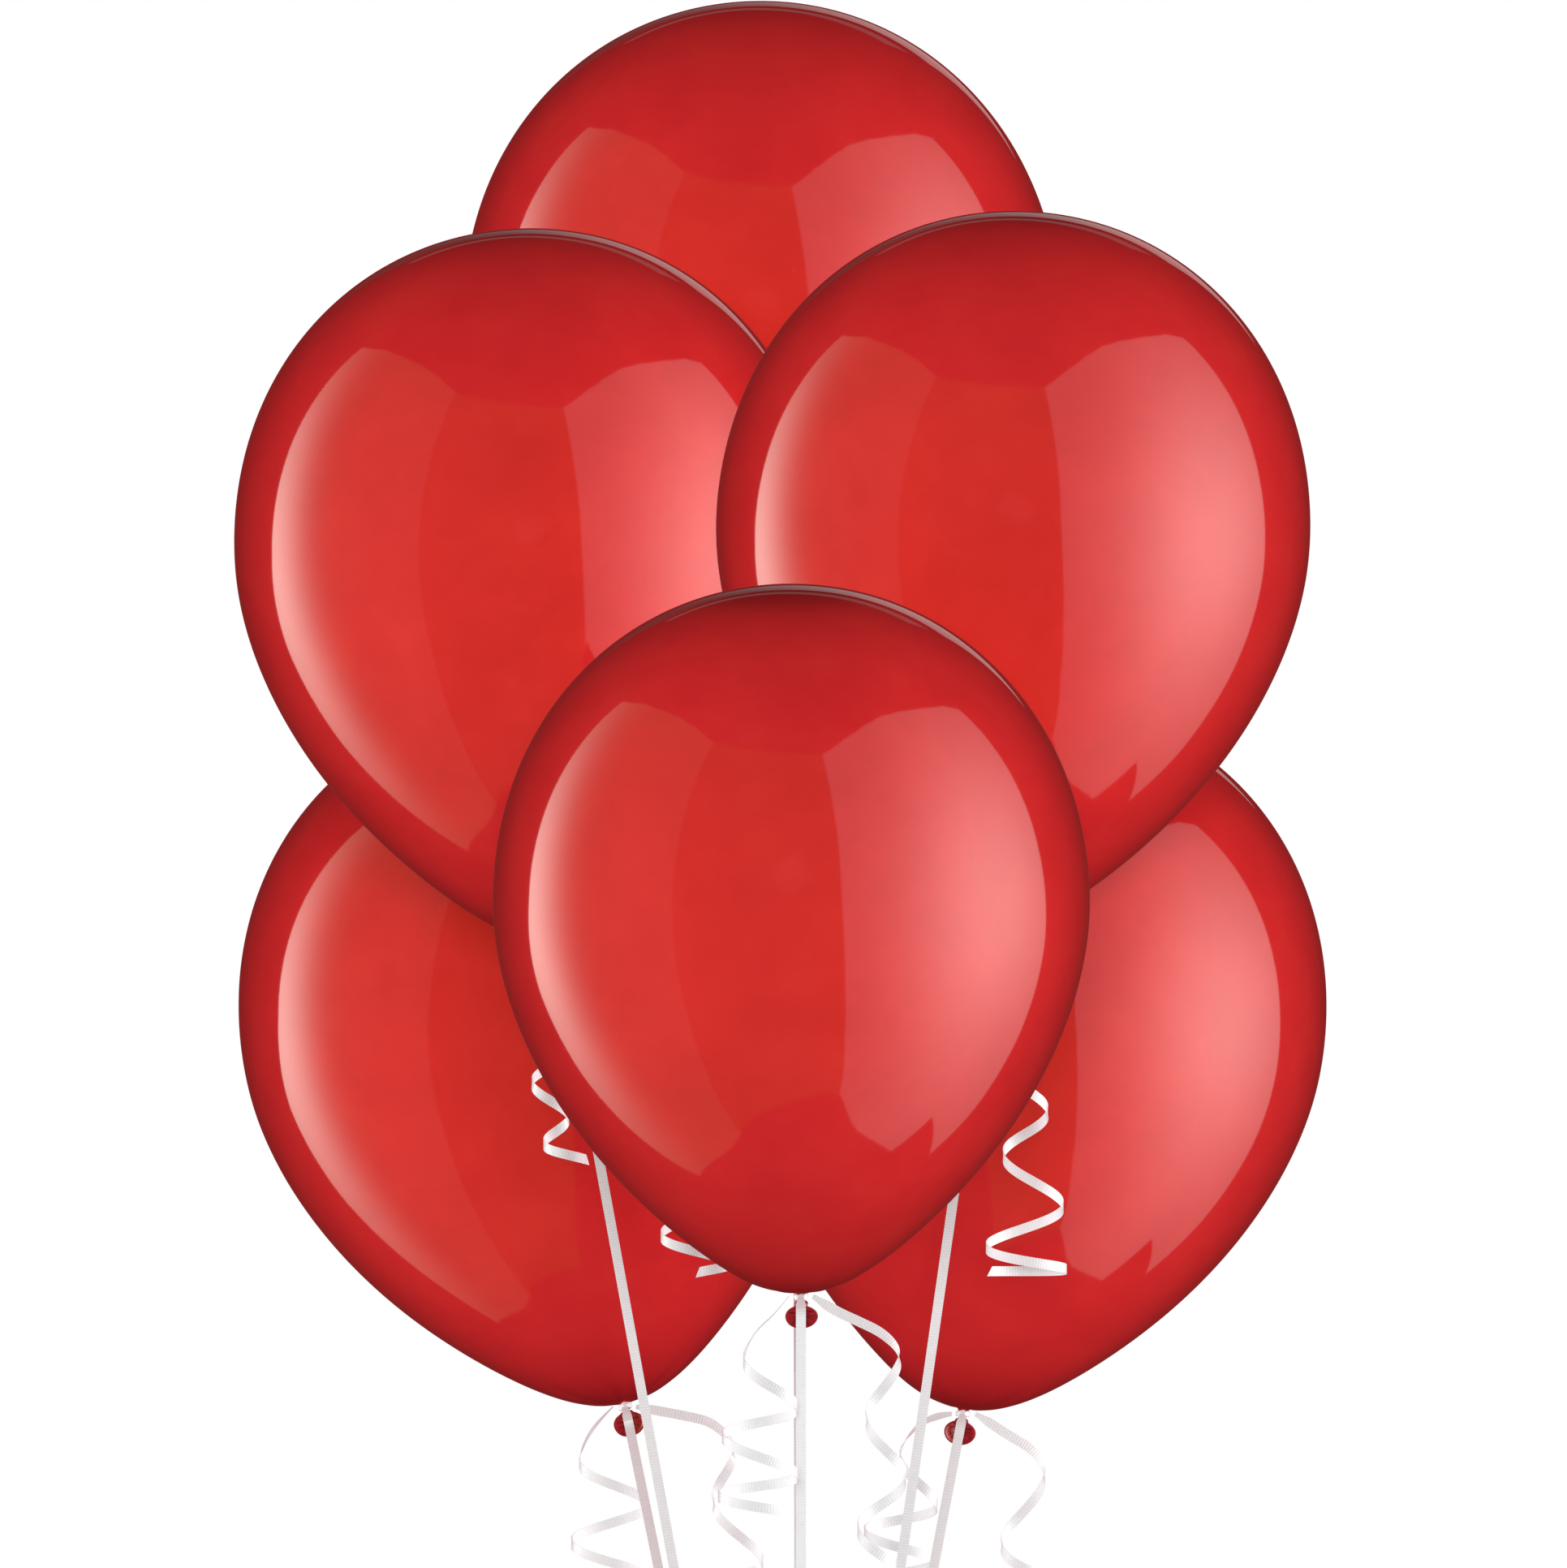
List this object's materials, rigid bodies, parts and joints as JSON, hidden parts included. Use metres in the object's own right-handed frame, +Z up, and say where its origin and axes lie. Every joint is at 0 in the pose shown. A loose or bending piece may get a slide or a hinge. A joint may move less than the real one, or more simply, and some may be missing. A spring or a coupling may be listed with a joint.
{
  "type": "latex balloon bouquet",
  "caption": "Bouquet of glossy red latex balloons, each with a knotted neck and rolled mouth, tied with white curling ribbon that gathers into one knot below.",
  "frame": {"origin": "middle of the gather knot, where the ribbons meet and something holds the bouquet down", "axes": "+Z up along the bouquet, the front balloon towards -Y, +X to the right seen from the front"},
  "size_m": [0.5704, 0.9933, 1.2089],
  "materials": {
    "latex": "glossy stretched latex",
    "latex_thick": "satin unstretched latex",
    "ribbon": "satin ribbed curling ribbon"
  },
  "bodies": {
    "gather": {"gather_knot": "ribbon", "gather_ends": "ribbon"},
    "ribbon_front": {"lead_front": "ribbon", "ribbon_loop_front": "ribbon", "tail_left_front": "ribbon", "tail_right_front": "ribbon"},
    "balloon_front": {"envelope_front": "latex", "neck_knot_front": "latex_thick", "mouth_front": "latex_thick"},
    "ribbon_middle_right": {"lead_middle_right": "ribbon", "ribbon_loop_middle_right": "ribbon", "tail_left_middle_right": "ribbon", "tail_right_middle_right": "ribbon"},
    "balloon_middle_right": {"envelope_middle_right": "latex", "neck_knot_middle_right": "latex_thick", "mouth_middle_right": "latex_thick"},
    "ribbon_middle_left": {"lead_middle_left": "ribbon", "ribbon_loop_middle_left": "ribbon", "tail_left_middle_left": "ribbon", "tail_right_middle_left": "ribbon"},
    "balloon_middle_left": {"envelope_middle_left": "latex", "neck_knot_middle_left": "latex_thick", "mouth_middle_left": "latex_thick"},
    "ribbon_bottom_right": {"lead_bottom_right": "ribbon", "ribbon_loop_bottom_right": "ribbon", "tail_left_bottom_right": "ribbon", "tail_right_bottom_right": "ribbon"},
    "balloon_bottom_right": {"envelope_bottom_right": "latex", "neck_knot_bottom_right": "latex_thick", "mouth_bottom_right": "latex_thick"},
    "ribbon_bottom_left": {"lead_bottom_left": "ribbon", "ribbon_loop_bottom_left": "ribbon", "tail_left_bottom_left": "ribbon", "tail_right_bottom_left": "ribbon"},
    "balloon_bottom_left": {"envelope_bottom_left": "latex", "neck_knot_bottom_left": "latex_thick", "mouth_bottom_left": "latex_thick"},
    "ribbon_top": {"lead_top": "ribbon", "ribbon_loop_top": "ribbon", "tail_left_top": "ribbon", "tail_right_top": "ribbon"},
    "balloon_top": {"envelope_top": "latex", "neck_knot_top": "latex_thick", "mouth_top": "latex_thick"}
  },
  "joints": [
    {"name": "swing_front", "type": "hinge", "parent": "gather", "child": "ribbon_front", "pos_m": [0, 0, 0], "axis": [1, 0, 0], "range_deg": [0, 25], "stiffness_Nm_per_rad": 0.4, "springref_deg": -6.88},
    {"name": "turn_front", "type": "hinge", "parent": "ribbon_front", "child": "balloon_front", "pos_m": [-0.00026, -0.2858, 0.5041], "axis": [-0.0241, -0.1737, 0.9845], "continuous": true},
    {"name": "swing_middle_right", "type": "hinge", "parent": "gather", "child": "ribbon_middle_right", "pos_m": [0, 0, 0], "axis": [0.276, 0.9611, 0], "range_deg": [0, 25], "stiffness_Nm_per_rad": 0.4, "springref_deg": -6.88},
    {"name": "turn_middle_right", "type": "hinge", "parent": "ribbon_middle_right", "child": "balloon_middle_right", "pos_m": [0.09753, -0.08901, 0.68716], "axis": [0.0523, -0.0349, 0.998], "continuous": true},
    {"name": "swing_middle_left", "type": "hinge", "parent": "gather", "child": "ribbon_middle_left", "pos_m": [0, 0, 0], "axis": [0, -1, 0], "range_deg": [0, 25], "stiffness_Nm_per_rad": 0.4, "springref_deg": -6.88},
    {"name": "turn_middle_left", "type": "hinge", "parent": "ribbon_middle_left", "child": "balloon_middle_left", "pos_m": [-0.12485, 0.092, 0.67764], "axis": [-0.0698, 0, 0.9976], "continuous": true},
    {"name": "swing_bottom_right", "type": "hinge", "parent": "gather", "child": "ribbon_bottom_right", "pos_m": [0, 0, 0], "axis": [0, 1, 0], "range_deg": [0, 25], "stiffness_Nm_per_rad": 0.4, "springref_deg": -6.88},
    {"name": "turn_bottom_right", "type": "hinge", "parent": "ribbon_bottom_right", "child": "balloon_bottom_right", "pos_m": [0.08428, 0.1129, 0.43534], "axis": [0.1632, 0.0349, 0.986], "continuous": true},
    {"name": "swing_bottom_left", "type": "hinge", "parent": "gather", "child": "ribbon_bottom_left", "pos_m": [0, 0, 0], "axis": [-0.7071, -0.7071, 0], "range_deg": [0, 25], "stiffness_Nm_per_rad": 0.4, "springref_deg": -6.88},
    {"name": "turn_bottom_left", "type": "hinge", "parent": "ribbon_bottom_left", "child": "balloon_bottom_left", "pos_m": [-0.09274, 0.33198, 0.43377], "axis": [-0.2182, 0.1737, 0.9603], "continuous": true},
    {"name": "swing_top", "type": "hinge", "parent": "gather", "child": "ribbon_top", "pos_m": [0, 0, 0], "axis": [-0.7071, 0.7071, 0], "range_deg": [0, 25], "stiffness_Nm_per_rad": 0.4, "springref_deg": -6.88},
    {"name": "turn_top", "type": "hinge", "parent": "ribbon_top", "child": "balloon_top", "pos_m": [-0.00202, 0.34032, 0.79647], "axis": [-0.0867, 0.1045, 0.9907], "continuous": true}
  ]
}
